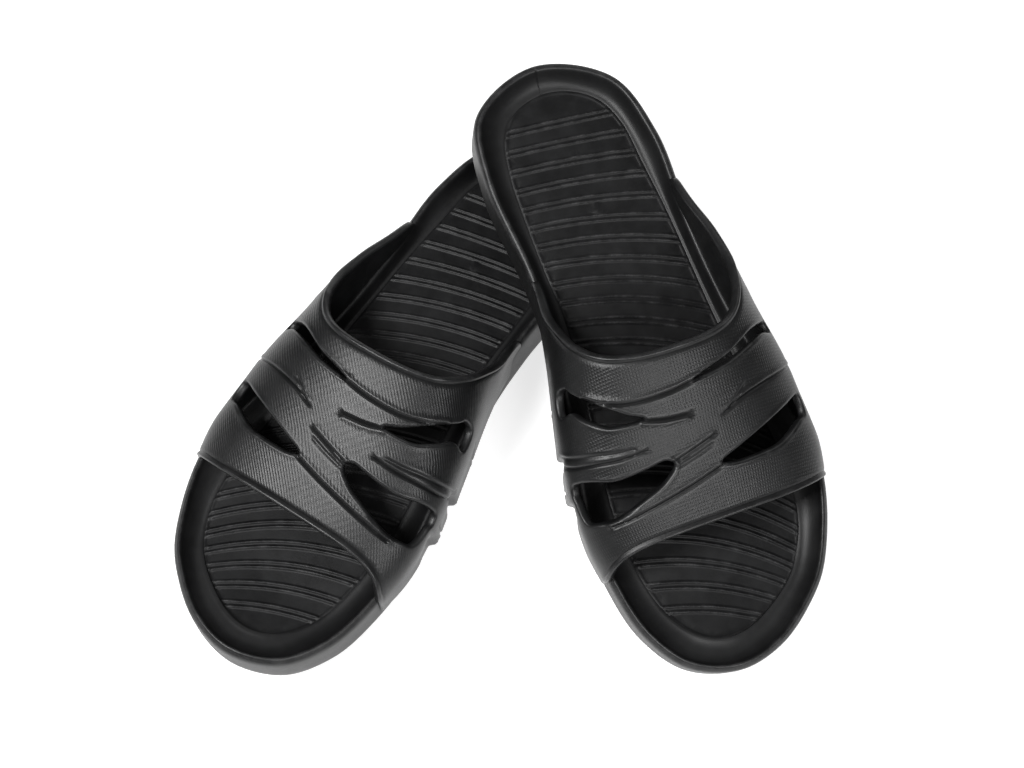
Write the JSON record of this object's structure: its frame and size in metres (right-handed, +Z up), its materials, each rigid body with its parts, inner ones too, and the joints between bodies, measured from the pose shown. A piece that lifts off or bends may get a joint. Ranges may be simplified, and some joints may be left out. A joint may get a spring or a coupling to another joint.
{
  "type": "pair of slide sandals",
  "caption": "Pair of moulded black slide sandals with slotted uppers and ribbed footbeds, one lying flat, the other crossed over its heel.",
  "frame": {"origin": "on the floor under the middle of the pair's bounding box", "axes": "+Z up; the toes point towards -Y, the right slide on the -X side and the left slide on the +X side; +X is the longest extent of the pair as it lies"},
  "size_m": [0.2852, 0.268, 0.1019],
  "materials": {
    "tread": "matte moulded polymer with fine tread bars",
    "sole": "satin moulded polymer, smooth side wall and rim",
    "footbed": "satin moulded polymer with pairs of fine raised ribs",
    "upper": "satin moulded polymer with a fine woven imprint, smooth hems"
  },
  "bodies": {
    "right_slide": {"right_rear_tread": "tread", "right_rear_sole": "sole", "right_rear_footbed": "footbed", "right_upper": "upper"},
    "right_toe": {"right_toe_tread": "tread", "right_toe_sole": "sole", "right_toe_footbed": "footbed"},
    "left_slide": {"left_rear_tread": "tread", "left_rear_sole": "sole", "left_rear_footbed": "footbed", "left_upper": "upper"},
    "left_toe": {"left_toe_tread": "tread", "left_toe_sole": "sole", "left_toe_footbed": "footbed"}
  },
  "joints": [
    {"name": "left_lift", "type": "slide", "parent": "right_slide", "child": "left_slide", "axis": [0, 0, 1], "range_m": [0, 0.12]},
    {"name": "right_toe_flex", "type": "hinge", "parent": "right_slide", "child": "right_toe", "pos_m": [-0.09925, -0.07881, 0.023], "axis": [-0.749, 0.6626, 0], "range_deg": [0, 25], "stiffness_Nm_per_rad": 1.5},
    {"name": "left_toe_flex", "type": "hinge", "parent": "left_slide", "child": "left_toe", "pos_m": [0.09781, -0.08121, 0.02828], "axis": [-0.8779, -0.4743, -0.0657], "range_deg": [0, 25], "stiffness_Nm_per_rad": 1.5}
  ]
}
